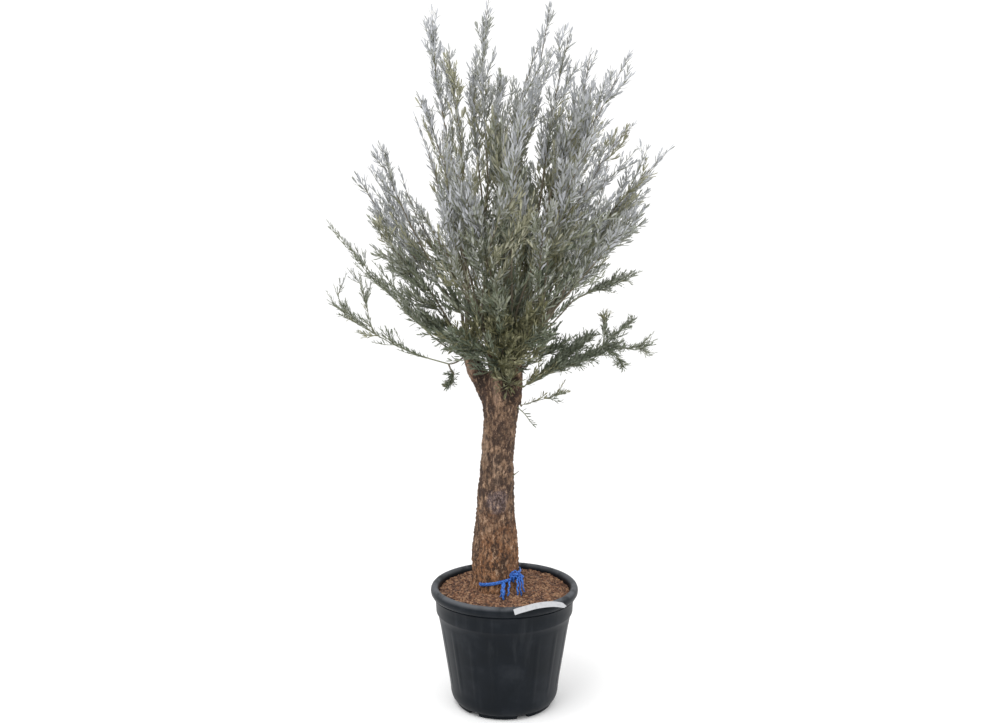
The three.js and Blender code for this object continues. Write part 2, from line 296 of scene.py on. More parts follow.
# Radius and height down the outside of the pot's section and back up the inside.
def potProfile():
    high, rim, collar, step = pot["height"], pot["rim"], pot["collar"], pot["step"]
    foot, bodyFoot, bodyTop, wall = pot["foot"], pot["bodyFoot"], pot["bodyTop"], pot["wall"]
    rollWide, rollHigh = pot["roll"]
    inward, outward, deep = pot["groove"]
    bodyLow = pot["notchHeight"] + pot["footCurve"]
    under = [(0.0, 0.0), (inward, 0.0), (inward + deep, deep), (outward - deep, deep), (outward, 0.0)]
    outer = [(foot - 0.006, 0.0), (foot, 0.002), (foot + 0.001, pot["notchHeight"])]
    for share in (0.15, 0.3, 0.45, 0.6, 0.75, 0.9, 1.0):
        turn = share * math.pi / 2
        radius = foot + 0.001 + (bodyFoot - foot - 0.001) * math.sin(turn)
        outer.append((radius, pot["notchHeight"] + pot["footCurve"] * (1 - math.cos(turn))))
    for share in np.linspace(0.06, 1, 16):
        outer.append((between(bodyFoot, bodyTop, share), between(bodyLow, step - 0.003, share)))
    outer += [(collar - 0.001, step + 0.003), (collar, step + 0.007), (collar + 0.001, step + 0.03)]
    outer += [(collar + 0.002, high - 0.046), (collar + 0.004, high - 0.040), (rim - 0.009, high - 0.0385)]
    for angle in (-80, -50, -25, 0, 20, 40, 60, 80, 105, 130, 155):
        turn = math.radians(angle)
        rise = rollHigh * math.sin(turn) * (1.0 if angle > 0 else 0.95)
        outer.append((rim - rollWide + rollWide * math.cos(turn), high - rollHigh + rise))
    inner = [(rim - 0.0275, high - 0.020), (collar - wall, high - 0.040)]
    inner += [(collar - wall - 0.001, step + 0.004), (bodyTop - wall, step - 0.004)]
    inner += [(bodyFoot - wall, bodyLow - 0.002), (foot - wall, pot["floor"]), (0.0, pot["floor"])]
    return under + outer + inner


def inNotch(degrees):
    apart = 360 / pot["notches"]
    for n in range(pot["notches"]):
        if abs((degrees - pot["notchHeading"] - n * apart + 180) % 360 - 180) < pot["notchHalf"]:
            return True
    return False


def potShape():
    steps = pot["steps"]
    underside = pot["groove"][1] - 0.002
    points, faces, rings = [], [], []
    for radius, z in potProfile():
        if radius == 0.0:
            points.append((0, 0, z))
            rings.append([len(points) - 1] * steps)
            continue
        ring = []
        for k in range(steps):
            degrees = 360 * k / steps
            turn = math.radians(degrees)
            r, high = radius, z
            if inNotch(degrees) and radius > underside and z < pot["notchHeight"]:
                high = max(z, pot["notchHeight"] - 0.001 + 0.01 * z)
            if radius > pot["bodyFoot"] - 0.002:
                panel = smooth(abs(math.sin(turn * pot["panels"] / 2)), 0.25, 0.4)
                reach = smooth(z, *pot["panelFrom"]) * (1 - smooth(z, *pot["panelTo"]))
                r -= pot["panelDepth"] * panel * reach
            ring.append(len(points))
            points.append((r * math.cos(turn), r * math.sin(turn), high))
        rings.append(ring)
    for low, up in zip(rings, rings[1:]):
        for k in range(steps):
            n = (k + 1) % steps
            face = list(dict.fromkeys([low[k], low[n], up[n], up[k]]))
            if len(face) > 2:
                faces.append(face)
    return points, faces


plastic, board, at, link = patterned(
    "potPlastic", linear(22, 26, 31), Roughness=0.55, Specular_IOR_Level=0.14
)
cloud = board.noise(at, 9.0, 6)
streaks = board.noise(board.stretched(at, (26, 26, 2.2)), 1.0, 5, 0.6)
# Lighter dust in streaks and clouds over the plastic; on the rim's top a lighter band that is partly dust and
# partly painted highlight from the light above.
rimDustAndHighlight = board.band(board.upright(at), 0.396, 0.4095) * board.band(streaks + cloud, 0.7, 1.1)
dustAndRimHighlight = board.band(streaks, 0.52, 0.78) * 0.12 + board.band(cloud, 0.5, 0.75) * 0.1 + rimDustAndHighlight * 0.9
base = board.tint(board.band(cloud, 0.3, 0.7), linear(8, 14, 20), linear(14, 20, 27))
link(Base_Color=board.tint(dustAndRimHighlight, base, linear(88, 90, 94)))
link(Roughness=0.42 + dustAndRimHighlight * 0.3)
link(Normal=board.bump(0.12, 0.0006, board.noise(at, 420.0, 2)))
potPiece = meshObject("potWall", *potShape(), plastic)
shadeSmooth(potPiece)
potPiece.data.set_sharp_from_angle(angle=math.radians(38))
finishPiece(potPiece, "pot", "pot")

soil = {
    "level": 0.384, "radius": 0.2235, "rings": 46, "steps": 170,
    "under": ((0.2205, 0.32), (0.21, 0.30)),  # radius and height of the rings below the top
    "mound": 0.016, "moundAt": -0.028, "moundWide": (0.07, 0.17),
    "rough": 0.0045, "backRise": 0.010, "edgeFall": 0.004,
    "chipsPerSquare": 4680.0, "chipSize": 0.013, "seed": 5,
}


def soilHeight(x, y):
    away = math.hypot(x - soil["moundAt"], y)
    lumps = noise.noise((x * 28, y * 28, 1.7)) * 0.7 + noise.noise((x * 75, y * 75, 4.1)) * 0.45
    rise = soil["mound"] * (1 - smooth(away, *soil["moundWide"]))
    rise += soil["backRise"] * smooth(y, 0.0, 0.2)
    fall = soil["edgeFall"] * smooth(math.hypot(x, y), 0.17, 0.22)
    return soil["level"] + rise + soil["rough"] * lumps - fall


def soilShape():
    steps = soil["steps"]
    points, faces, rows = [(0, 0, soilHeight(0, 0))], [], []
    top = [(soil["radius"] * ring / soil["rings"], None) for ring in range(1, soil["rings"] + 1)]
    for radius, z in (*top, *soil["under"]):
        row = []
        for k in range(steps):
            turn = 2 * math.pi * k / steps
            x, y = radius * math.cos(turn), radius * math.sin(turn)
            row.append(len(points))
            points.append((x, y, soilHeight(x, y) if z is None else z))
        rows.append(row)
    points.append((0, 0, soil["under"][-1][1]))
    for k in range(steps):
        n = (k + 1) % steps
        faces.append((0, rows[0][k], rows[0][n]))
        faces += [(a[k], b[k], b[n], a[n]) for a, b in zip(rows, rows[1:])]
        faces.append((rows[-1][n], rows[-1][k], len(points) - 1))
    return points, faces


earth, board, at, link = patterned("earth", linear(110, 80, 60), Roughness=0.95)
clods = board.noise(at, 60.0, 8, 0.65)
specks = board.noise(at, 260.0, 4)
tone = board.tint(board.band(clods, 0.35, 0.65), linear(64, 44, 33), linear(138, 104, 80))
link(Base_Color=board.tint(board.band(specks, 0.56, 0.7), tone, linear(158, 122, 92)))
link(Normal=board.bump(0.9, 0.004, clods + specks * 0.4))
earthPiece = meshObject("soilSurface", *soilShape(), earth)
shadeSmooth(earthPiece)
finishPiece(earthPiece, "soil", "soil")

chipTones = [linear(128, 92, 68), linear(96, 66, 50), linear(150, 116, 88), linear(74, 52, 42)]
chipPaint = [plain(f"chip{n}", tone, Roughness=0.92) for n, tone in enumerate(chipTones)]


# Scatters flat, broken chips of one tone over the soil's top.
def chipTree():
    board, given = geometryTree("chips", Density="Float", Size="Float", Seed="Int", Finish="Material")
    seed = given.pick("Seed")

    def randomly(low, high, **values):
        vector = {"data_type": "FLOAT_VECTOR"}
        return board.add("FunctionNodeRandomValue", vector, {0: low, 1: high, **values})

    upward = board.upright(board.add("GeometryNodeInputNormal"))
    top = board.add("FunctionNodeCompare", {"operation": "GREATER_THAN"}, {0: upward, 1: 0.6})
    where = {"Mesh": given.pick("Geometry"), "Selection": top, "Density": given.pick("Density"), "Seed": seed}
    scatter = board.add("GeometryNodeDistributePointsOnFaces", None, where)
    turn = randomly((-0.5, -0.5, 0.0), (0.5, 0.5, 6.28), Seed=seed)
    size = randomly((0.5, 0.3, 0.3), (1.5, 0.8, 0.8), Seed=seed)
    scale = board.add("ShaderNodeVectorMath", {"operation": "SCALE"}, {0: size, "Scale": given.pick("Size")})
    blank = board.add("GeometryNodeMeshIcoSphere", None, {"Radius": 0.5, "Subdivisions": 1})
    dents = {"Geometry": blank, "Offset": randomly((-0.16,) * 3, (0.16,) * 3)}
    broken = board.add("GeometryNodeSetPosition", None, dents)
    placing = {"Points": scatter, "Instance": broken, "Rotation": turn, "Scale": scale}
    return closeTree(board, board.add("GeometryNodeInstanceOnPoints", None, placing), given.pick("Finish"))


chips = chipTree()
heap = []
for n, paint in enumerate(chipPaint):
    bed = meshObject("chips", *soilShape())
    sizes = {"Density": soil["chipsPerSquare"], "Size": soil["chipSize"]}
    heap.append(grow(bed, chips, **sizes, Seed=soil["seed"] + n, Finish=paint))


def joined(name, pieces):
    with bpy.context.temp_override(active_object=pieces[0], selected_editable_objects=pieces):
        bpy.ops.object.join()
    pieces[0].name = name
    return pieces[0]


chipPiece = joined("soilChips", heap)
finishPiece(chipPiece, "soil")

bark = {
    "voxel": 0.0032, "soften": (0.6, 12),  # factor and rounds
    "lump": 0.0060, "cobble": 0.0030, "ridge": 0.0042, "fine": 0.0018,
    "flare": (0.395, 0.030, 0.006),  # height, spread and rise
    "hollows": (  # x, z, half width, half height and depth, on the front
        (-0.036, 0.545, 0.008, 0.032, 0.007), (-0.078, 1.135, 0.018, 0.045, 0.013),
        (0.014, 1.095, 0.020, 0.050, 0.011), (-0.028, 1.085, 0.008, 0.045, -0.006),
        (-0.118, 1.150, 0.012, 0.050, -0.005), (-0.004, 0.47, 0.010, 0.05, 0.004),
    ),
    "knees": ((-0.085, -0.02, 0.815, 0.022, 0.006), (-0.102, 0.0, 0.60, 0.075, 0.005)),
    "crotch": ((-0.004, 0.004, 1.050), (0.050, 0.050, 0.060)),  # the lump of wood where the boughs part
}
# Patches on the bark, pale streaks and a darker patch low on the left, with painted shade in the hollows at
# the fork and painted highlight on the ridges beside them: their centres and sizes, how strong they are, and
# the colour.
barkMarksAndPaintedLight = (
    ((((-0.026, -0.062, 0.82), (0.016, 0.06, 0.060)), ((-0.070, -0.02, 0.90), (0.018, 0.05, 0.075))),
     0.45, (152, 128, 108)),
    ((((-0.105, -0.01, 0.58), (0.028, 0.06, 0.115)),),
     0.60, (74, 60, 50)),
    # Painted shade in the hollows at the fork.
    ((((-0.076, -0.05, 1.135), (0.032, 0.06, 0.062)), ((0.016, -0.05, 1.10), (0.034, 0.06, 0.062))),
     0.70, (62, 42, 36)),
    # Painted highlight on the raised ridges beside the hollows.
    ((((-0.028, -0.06, 1.085), (0.010, 0.06, 0.055)), ((-0.122, -0.02, 1.15), (0.018, 0.05, 0.060))),
     0.50, (158, 130, 112)),
)
woods = ["trunk", "bough_left", "bough_middle", "bough_right", "bough_back"]


def ridged(x, y, z):
    return 1 - 2 * abs(noise.noise((x, y, z)))


# The bark's rise over the smooth wood: broad lumps, then the cobbled, fluted skin on them.
def barkRelief(place):
    x, y, z = place
    lump = noise.noise((x * 15, y * 15, z * 8))
    sway = noise.noise_vector((x * 30, y * 30, z * 20)) * 0.6
    near = noise.voronoi((x * 105 + sway.x, y * 105 + sway.y, z * 62 + sway.z))[0]
    cobble = smooth(near[1] - near[0], 0.0, 0.5)
    flutes = ridged(x * 36 + 3 + sway.x, y * 36, z * 7)
    ridge = flutes * 0.65 + ridged(x * 70, y * 70 + 5, z * 18 + sway.z) * 0.35
    fine = noise.noise((x * 230, y * 230, z * 150))
    fade = 1 - 0.45 * smooth(z, 0.98, 1.15)
    skin = fade * (bark["cobble"] * (cobble - 0.7) + bark["ridge"] * (ridge - 0.5) + bark["fine"] * fine)
    broad = fade * bark["lump"] * lump
    for hollowX, hollowZ, wide, high, deep in bark["hollows"] if y < 0 else ():
        skin -= deep * math.exp(-(((x - hollowX) / wide) ** 2) - ((z - hollowZ) / high) ** 2)
    for kneeX, kneeY, kneeZ, kneeHigh, rise in bark["knees"]:
        out = ((x - kneeX) / 0.03) ** 2 + ((y - kneeY) / 0.045) ** 2 + ((z - kneeZ) / kneeHigh) ** 2
        broad += rise * math.exp(-out)
    level, spread, rise = bark["flare"]
    broad += rise * math.exp(-(((z - level) / spread) ** 2))
    return broad, skin


rough, board, at, link = patterned("oliveBark", linear(112, 86, 68), Roughness=0.92)


# How near a point is to the middle of a patch painted on the bark (the marks, and the painted shade and
# highlight at the fork), from 0 outside it to 1.
def mark(centre, size):
    off = board.add("ShaderNodeVectorMath", {"operation": "SUBTRACT"}, {0: at, 1: centre})
    off = board.add("ShaderNodeVectorMath", {"operation": "DIVIDE"}, {0: off, 1: size})
    away = board.add("ShaderNodeVectorMath", {"operation": "LENGTH"}, {0: off}).pick("Value")
    return board.band(away + ragged, 1.15, 0.75)


relief = board.add("ShaderNodeAttribute", {"attribute_name": "relief"}).pick("Fac")
coarse = board.noise(at, 22.0, 5, 0.6)
fibres = board.noise(board.stretched(at, (1, 1, 0.4)), 95.0, 8, 0.72, 0.35)
specks = board.noise(at, 210.0, 6, 0.62)
ragged = (specks - 0.5) * 1.4 + (coarse - 0.5) * 1.2
brown = board.tint(board.band(coarse, 0.42, 0.62), linear(66, 46, 35), linear(120, 94, 73))
warmth = 1 - board.band(board.upright(at) + (coarse - 0.5) * 0.3, 0.48, 0.72)
brown = board.tint(warmth * 0.75, brown, linear(148, 101, 64))
grey = board.tint(board.band(specks, 0.4, 0.6), linear(76, 62, 64), linear(118, 104, 106))
brown = board.tint(mark((-0.024, -0.065, 0.708), (0.040, 0.06, 0.040)) * 0.85, brown, grey)
# The marks, with the painted shade in the fork's hollows and the painted highlight on its ridges.
for spots, strength, colour in barkMarksAndPaintedLight:
    brown = board.tint(sum(mark(*spot) for spot in spots) * strength, brown, linear(*colour))
brown = board.tint(board.band(fibres, 0.545, 0.42) * 0.9, brown, linear(46, 32, 25))
# Painted shade in the bark's crevices: darker where the relief sinks.
brown = board.tint(board.band(relief, 0.46, 0.10) * 0.8, brown, linear(40, 28, 21))
patches = 0.35 + 0.65 * board.band(board.noise(at, 34.0, 3), 0.40, 0.60)
# Light fibrous flecks and specks of the bark, with painted highlight on the raised tops of the relief.
flecksAndHighlight = board.band(fibres, 0.53, 0.63) * patches * 0.9
flecksAndHighlight = flecksAndHighlight + board.band(specks, 0.55, 0.66) * 0.25 + board.band(relief, 0.72, 1.0) * 0.15
link(Base_Color=board.tint(flecksAndHighlight, brown, linear(176, 146, 120)))
link(Normal=board.bump(1.0, 0.006, fibres + specks * 0.5))
print("bark is mixed")


def barkPiece():
    shape = bmesh.new()
    shape.from_mesh(merged("woods", *woods))
    centre, size = bark["crotch"]
    swell = Matrix.Translation(centre) @ Matrix.Diagonal((*size, 1))
    bmesh.ops.create_icosphere(shape, subdivisions=4, radius=1, matrix=swell)
    mesh = bpy.data.meshes.new("barkRelief")
    shape.to_mesh(mesh)
    shape.free()
    made = bpy.data.objects.new("barkRelief", mesh)
    scene.collection.objects.link(made)
    remesh = made.modifiers.new("voxels", "REMESH")
    remesh.mode, remesh.voxel_size = "VOXEL", bark["voxel"]
    soften = made.modifiers.new("soften", "SMOOTH")
    soften.factor, soften.iterations = bark["soften"]
    settle(made)
    mesh = made.data
    depth, places = [], []
    for vertex in mesh.vertices:
        broad, skin = barkRelief(vertex.co)
        depth.append(skin)
        places.append(vertex.co + vertex.normal * (broad + skin))
    for vertex, place in zip(mesh.vertices, places):
        vertex.co = place
    store = mesh.attributes.new("relief", "FLOAT", "POINT")
    low, high = np.percentile(depth, [2, 98])
    store.data.foreach_set("value", [float((d - low) / (high - low)) for d in depth])
    mesh.materials.clear()
    mesh.materials.append(rough)
    shadeSmooth(made)
    return made


barkMade = barkPiece()
finishPiece(barkMade, "bark", *woods)
barkSkin = BVHTree.FromObject(barkMade, bpy.context.evaluated_depsgraph_get())

leaf = {
    "half": ((0.26, 0.077), (0.70, 0.087)),  # shares of the length, and half widths there
    "arch": 0.34, "shapes": (-0.12, 0.02, 0.15),  # how far each shape's tip droops
    "plainTones": 5,  # the first of the tones below, from dark to silvery, before the olive ones
    "top": (
        (80, 89, 70), (99, 106, 86), (120, 124, 106), (137, 139, 130), (150, 152, 150), (102, 101, 70),
        (136, 135, 110),
    ),
    "under": (
        (108, 115, 98), (132, 137, 122), (160, 163, 154), (170, 172, 171), (181, 183, 187), (134, 132, 102),
        (164, 163, 142),
    ),
}
crown = {
    "seed": 21, "hub": (0.0, 0.0, 1.10), "goldenTurn": 137,
    "tipReach": 0.45, "tipInset": 0.008, "longLeader": 0.12, "leaderStep": 0.06,
    "leader": 0.0044, "shoot": 0.0019, "tip": 0.0008, "stout": 0.0028,  # radii, the last the least of a limb
    "shootsPerSquare": 200, "shortest": 0.045, "lean": (20, 44), "inset": (-0.010, 0.016),
    "sprigGap": 0.036, "sprigLong": (0.065, 0.115), "sprigLean": (18, 34), "sprigFrom": 0.40, "sprigTo": 0.97,
    "twigChance": 0.35, "twigShare": (0.35, 0.6), "twigLean": (24, 48),
    "leafGap": 0.0140, "leafLong": 0.0300, "leafSpread": (42, 22), "lift": 0.24, "twist": 30, "missing": 0.08,
    "wedge": (0.045, 0.180), "wedgePairs": 3, "wedgeFrom": 0.42, "wedgeTo": 0.92, "wedgeGap": 0.032,
    "sprouts": 60, "sproutLong": (0.045, 0.105), "sproutAbove": 1.12,
    "outriderLeast": 0.15, "outriderSprig": (0.025, 0.05), "boughTwiglet": 0.0030, "boughAbove": 1.1,
}
limb = {"near": 0.045, "above": 1.19, "sink": 0.02, "sag": 0.012, "bow": 0.12, "taper": 0.62}
# How the limb and the leaders of a mass grow in the crown, and on the free sprays.
habits = {
    "crown": {"shade": 0.0, "limb": 0.0080, "sway": 0.02, "slim": 1.0, "leafFrom": 0.45, "leafSize": 1.22},
    "spray": {"shade": 0.12, "limb": 0.0032, "sway": 0.008, "slim": 0.7, "leafFrom": 0.22, "leafSize": 1.05},
}
foliage = {
    "foliageTop": ["crown_top_middle", "crown_top_left", "crown_top_right", "crown_top_far_right"],
    "foliageRight": [
        "crown_right_shoulder", "crown_right_upper", "crown_right", "crown_right_lower",
        "spray_right", "spray_low_right", "spray_low_right_end", "skirt_right", "twig_low_right",
    ],
    "foliageLeft": [
        "crown_left_shoulder", "crown_left", "crown_left_lower",
        "spray_left", "spray_low_left", "spray_low_left_end", "tuft_low_left", "skirt_left",
    ],
    "foliageFront": [
        "crown_front_left", "crown_front", "crown_front_right", "skirt_front", "sprouts_at_fork",
    ],
    "foliageBack": ["crown_back_left", "crown_back", "crown_back_right", "skirt_back", "crown_core"],
}
# How thickly a mass is set with shoots, where it isn't 1.
fullness = {
    "spray_low_left_end": 2.2, "spray_right": 0.9, "spray_low_right": 4.4, "spray_low_right_end": 4.5,
    "skirt_right": 3.4, "skirt_left": 2.2, "skirt_front": 2.0, "skirt_back": 1.2,
    "twig_low_right": 2.4, "tuft_low_left": 12.0, "sprouts_at_fork": 2.6, "crown_core": 1.5,
    "crown_left": 0.9, "crown_left_lower": 1.3, "crown_left_shoulder": 0.12,
    "crown_right": 1.4, "crown_right_lower": 0.3, "crown_right_upper": 0.5,
    "crown_front": 1.35, "crown_front_right": 0.7, "crown_front_left": 0.6,
    "crown_top_right": 1.1, "crown_top_far_right": 1.3, "crown_top_left": 0.85, "crown_top_middle": 0.85,
    "crown_back": 0.7, "crown_back_left": 0.6, "crown_back_right": 0.7,
}
# Leaves smaller than the crown's, on the sprays that hang free of it.
fine = {
    "spray_left": 0.66, "spray_low_left": 0.62, "spray_low_left_end": 0.62, "spray_right": 0.72,
    "spray_low_right": 0.78, "spray_low_right_end": 0.72, "twig_low_right": 0.72, "tuft_low_left": 0.8,
    "skirt_right": 0.85,
}
# Where the crown stands open: bounds in x and z, and the share of shoots kept between them.
openings = (
    (-0.36, -0.20, 1.60, 2.00, 0.20), (0.22, 0.42, 1.68, 1.86, 0.35), (0.05, 0.16, 2.08, 2.25, 0.20),
    (0.13, 0.32, 1.22, 1.45, 0.15), (0.32, 0.42, 1.40, 1.55, 0.40),
)
# How far the middle of a free spray hangs below the straight line.
droops = {"spray_low_left": 0.022, "spray_low_left_end": 0.026}
# Long side shoots that leave the leaders and rise beside them, on the crown and on the free sprays.
outriders = {
    "crown": {"each": 2, "from": (0.55, 0.86), "long": (0.09, 0.18), "lean": (9, 22), "size": 1.1},
    "spray": {"each": 2, "from": (0.40, 0.90), "long": (0.03, 0.06), "lean": (20, 45), "size": 0.65},
}
# Thick clusters of sprigs on the leaders of some masses: where along them, how many sprigs in each,
# how far these reach and how big their leaves are.
clusters = {
    "spray_low_right": {"at": (0.5, 0.7, 0.85, 1.0), "sprigs": 26, "reach": 0.034, "size": 0.66},
    "spray_low_right_end": {"at": (0.4, 0.8), "sprigs": 16, "reach": 0.024, "size": 0.6},
    "skirt_right": {"at": (0.7,), "sprigs": 14, "reach": 0.034, "size": 0.75},
    "spray_right": {"at": (0.6, 0.85), "sprigs": 14, "reach": 0.026, "size": 0.6},
    "spray_low_left": {"at": (0.85,), "sprigs": 24, "reach": 0.026, "size": 0.5},
    "spray_low_left_end": {"at": (0.6,), "sprigs": 12, "reach": 0.024, "size": 0.5},
    "spray_left": {"at": (0.25, 0.5), "sprigs": 14, "reach": 0.026, "size": 0.55},
    "tuft_low_left": {"at": (0.2, 0.7), "sprigs": 20, "reach": 0.018, "size": 0.6},
    "skirt_front": {"at": (0.5, 0.8), "sprigs": 12, "reach": 0.045, "size": 0.9},
    "skirt_back": {"at": (0.5, 0.8), "sprigs": 12, "reach": 0.045, "size": 0.9},
    "skirt_left": {"at": (0.5, 0.8), "sprigs": 14, "reach": 0.040, "size": 0.9},
    "crown_top_left": {"at": (0.92,), "sprigs": 7, "reach": 0.030, "size": 1.0},
    "crown_top_middle": {"at": (0.95,), "sprigs": 6, "reach": 0.030, "size": 1.0},
}
# Little twigs on the bark: height, heading in degrees from the right, length, rise of the tip over
# the root, and whether there are leaves.
twiglets = (
    (0.785, -20, 0.030, 0.8, False), (1.020, -25, 0.080, -0.9, True),
    (1.200, -110, 0.075, 0.8, False), (1.200, -75, 0.080, 0.5, False), (1.190, -130, 0.090, 0.6, False),
)
dice = random.Random(crown["seed"])
twigRuns = []  # points and radii
leaves = {name: [] for name in foliage}  # place, heading, face, length and tone


# A point on the curve that starts and ends at two points and bends toward a third.
def bend(start, middle, end, share):
    return start.lerp(middle, share).lerp(middle.lerp(end, share), share)


def spin(vector, axis, degrees):
    return Matrix.Rotation(math.radians(degrees), 3, axis) @ vector


# Any heading square to the one given.
def sideways(along):
    across = along.cross(Vector((0.3, 1.0, 0.1)))
    return across.normalized() if across.length > 0.1 else along.orthogonal().normalized()


# Opposite pairs of leaves along a run of points, each pair turned from the last, and one at the tip.
def setLeaves(group, points, first, tone, size=1.0):
    spans = [(b - a).length for a, b in zip(points, points[1:])]
    whole = sum(spans)
    gap = crown["leafGap"] * (0.4 + 0.6 * size)
    lift = crown["lift"] + 0.5 * (1 - size)
    place = first * whole
    turn = dice.uniform(0, 360)
    while place < whole:
        share = place / whole
        left, k = place, 0
        while k < len(spans) - 1 and left > spans[k]:
            left -= spans[k]
            k += 1
        at = points[k].lerp(points[k + 1], min(left / spans[k], 1.0))
        along = (points[k + 1] - points[k]).normalized()
        side = spin(sideways(along), along, turn)
        length = crown["leafLong"] * size * (0.64 + 0.46 * math.sin(math.pi * min(share * 0.8 + 0.14, 1)))
        length *= dice.uniform(0.8, 1.2)
        spread = between(*crown["leafSpread"], share) + dice.uniform(-10, 10)
        for half in (0, 180):
            if dice.random() < crown["missing"]:
                continue
            out = spin(side, along, half + dice.uniform(-14, 14))
            axis = along.cross(out).normalized()
            heading = spin(along, axis, spread + dice.uniform(-7, 7)) + Vector((0, 0, lift))
            heading.normalize()
            face = spin(heading, axis, -90)
            face = spin(face, heading, dice.uniform(-crown["twist"], crown["twist"]))
            leaves[group].append((at, heading, face, length * dice.uniform(0.9, 1.08), tone))
        turn += 90 + dice.uniform(-18, 18)
        place += gap * dice.uniform(0.75, 1.25)
    along = (points[-1] - points[-2]).normalized()
    face = spin(sideways(along), along, dice.uniform(0, 360))
    leaves[group].append((points[-1], along, face, crown["leafLong"] * size * 0.7, tone))


# A spray's tone: darker and greener inside and low down, silvery outside and at the top, with patches of
# yellower olive that take the last tones. The darkening inside and low down is painted shade, the silvering
# outside and at the top is partly painted light, and shade takes off further levels as painted shade.
def toneAt(place, shade=0.0):
    high = smooth(place.z, 1.20, 2.15)
    away = smooth(math.hypot(place.x, place.y), 0.1, 0.45)
    value = 0.82 * high + 0.42 * away - shade + dice.uniform(-0.22, 0.22)
    level = int(min(max(value, 0.0), 0.999) * leaf["plainTones"])
    olive = noise.noise(place * 6.5 + Vector((4, 0, 9))) + dice.uniform(-0.15, 0.15)
    if olive > -0.07 + 0.10 * high + 0.40 * away + 0.35 * smooth(place.z, 1.9, 2.15):
        return leaf["plainTones"] + (0 if level < 2 else 1)
    return level


def addRun(points, thick, thin):
    twigRuns.append((points, [between(thick, thin, k / (len(points) - 1)) for k in range(len(points))]))


boughEnds = []
for name in woods[1:]:
    fork = Vector((0, 0, 1.0))
    corners = [v.co.copy() for v in merged("bough", name).vertices]
    far = sorted(corners, key=lambda p: -(p - fork).length)[:9]
    boughEnds.append(sum(far, Vector()) / len(far))
woodVertices = [v.co.copy() for v in barkMade.data.vertices][::7]
sprayLines = []  # the leaders of the free sprays, which further sprays may leave
crownLines = []  # the other long leaders, each with its group
leadersOf = {}


# The limb that carries a mass: from a free spray close by, from a bough's end, or from the bark.
def limbTo(root):
    near = min((p for line in sprayLines for p in line), key=lambda p: (p - root).length, default=None)
    if near is not None and (near - root).length < limb["near"]:
        inside = near
    elif root.z > limb["above"]:
        start = min(boughEnds, key=lambda p: (p - root).length + 0.5 * max(0, p.z - root.z))
        inside = start - Vector((0, 0, limb["sink"]))
    else:
        inside = min(woodVertices, key=lambda p: (p - root).length)
    run = root - inside
    bow = limb["bow"] * run.length * Vector((run.x, run.y, 0))
    middle = inside.lerp(root, 0.5) + Vector((0, 0, -limb["sag"])) + bow
    return [bend(inside, middle, root, k / 6) for k in range(7)]


# How far a place is off the line from one point to another, and at what share of the way.
def offLine(place, start, end):
    run = end - start
    share = (place - start).dot(run) / run.length_squared
    return (place - start - run * share).length, share


# The point that a mass's solid is centred on, halfway along one of its shoots.
def halfway(places, root, tips, tip):
    mine = []
    for place in places:
        off, share = offLine(place, root, tip)
        if 0.3 < share < 0.7 and off <= min(offLine(place, root, other)[0] for other in tips) + 1e-6:
            mine.append(place)
    straight = root.lerp(tip, 0.5)
    if len(mine) < 4:
        return straight
    shift = sum(mine, Vector()) / len(mine) - straight
    shift -= shift.project(tip - root)
    most = 0.09 * (tip - root).length
    return straight + (shift if shift.length < most else shift.normalized() * most)


# A bent run of points that sways from side to side, least at its start.
def wavy(start, middle, end, steps, sway):
    run = end - start
    side = spin(sideways(run.normalized()), run.normalized(), dice.uniform(0, 360)) * sway * run.length
    phase = dice.uniform(0, 6)
    path = []
    for k in range(steps + 1):
        held = min(1.0, 3 * k / steps)
        path.append(bend(start, middle, end, k / steps) + side * math.sin(phase + 5.5 * k / steps) * held)
    return path


# A short twig that leaves a run partway and carries leaves of its own.
def growTwig(group, path, k, heading, long, level, size):
    end = path[k] + heading * long
    middle = path[k].lerp(end, 0.5) + (path[k + 1] - path[k]).normalized() * -0.06 * long
    twig = [bend(path[k], middle, end + Vector((0, 0, 0.12 * long)), j / 3) for j in range(4)]
    addRun(twig, crown["shoot"] * 0.6, crown["tip"])
    setLeaves(group, twig, 0.12, level, size)


# A heading that leans off the path by some degrees, turned round the path.
def leaning(path, k, degrees, turn):
    along = (path[k + 1] - path[k]).normalized()
    side = spin(sideways(along), along, turn)
    return spin(along, along.cross(side).normalized(), degrees)


# Whether growth is kept at a place or left out of an opening.
def keptAt(place):
    for x0, x1, z0, z1, share in openings:
        if x0 < place.x < x1 and z0 < place.z < z1:
            return dice.random() < share
    return True


